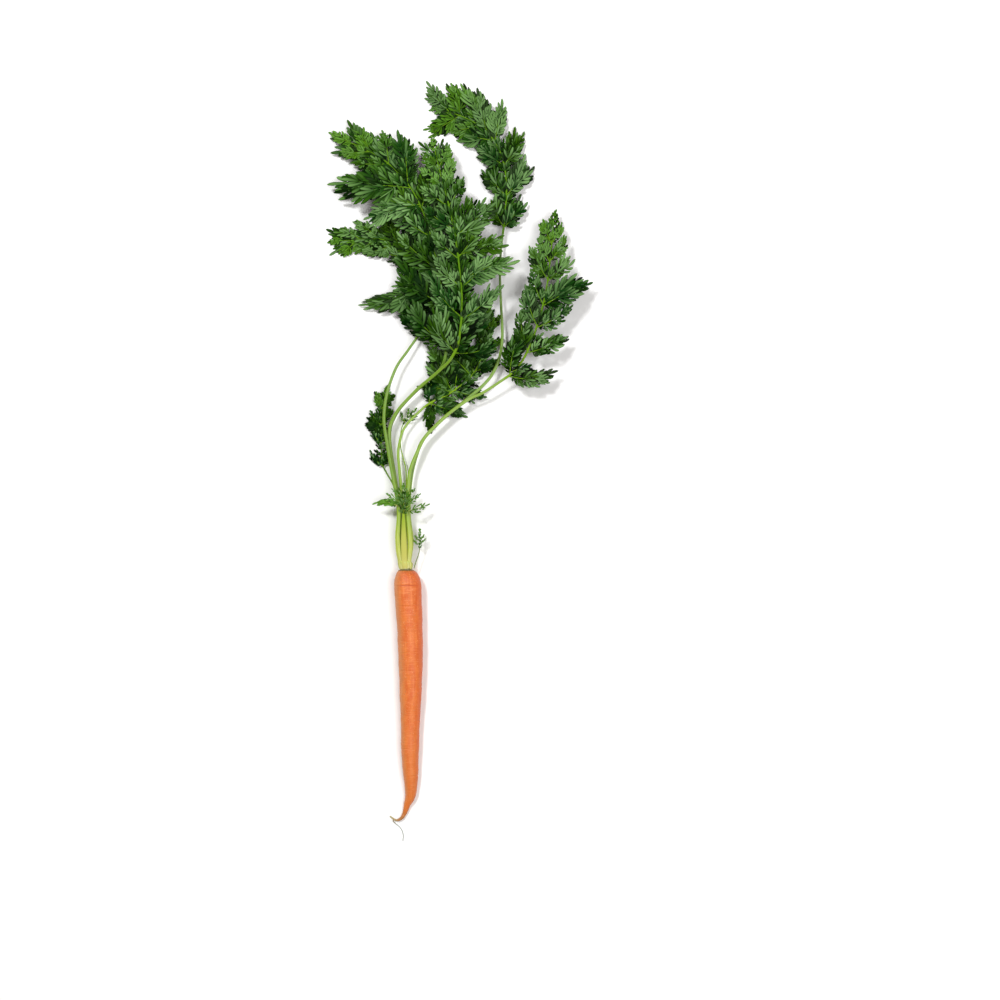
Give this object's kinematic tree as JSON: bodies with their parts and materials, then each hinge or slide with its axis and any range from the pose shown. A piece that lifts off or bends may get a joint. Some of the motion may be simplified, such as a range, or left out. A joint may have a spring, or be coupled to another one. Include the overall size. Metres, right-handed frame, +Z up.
{
  "type": "carrot",
  "caption": "Slender tapering carrot root with a bent tail, a pale crown, long green stalks and finely cut leafy fronds, lying on its side.",
  "frame": {"origin": "middle of the carrot's footprint, on the surface it lies on", "axes": "+Y from the root's tail towards the leaves, +Z up from the surface, +X to the right with the leaves away from the viewer"},
  "size_m": [0.1968, 0.5576, 0.0356],
  "materials": {
    "carrot_skin": "satin",
    "crown": "satin",
    "leaf_stalk": "satin",
    "leaf_blade": "satin"
  },
  "bodies": {
    "root": {"root": "carrot_skin", "crown": "crown", "stalk_left": "leaf_stalk", "frond_left": "leaf_blade", "stalk_upper_left": "leaf_stalk", "frond_upper_left": "leaf_blade", "stalk_middle": "leaf_stalk", "frond_middle": "leaf_blade", "stalk_top": "leaf_stalk", "frond_top": "leaf_blade", "stalk_right": "leaf_stalk", "frond_right": "leaf_blade", "stalk_inner": "leaf_stalk", "frond_inner": "leaf_blade", "stalk_low_left": "leaf_stalk", "frond_low_left": "leaf_blade", "leaf_young": "leaf_stalk", "leaf_small": "leaf_stalk", "leaf_tiny": "leaf_stalk"}
  },
  "joints": []
}
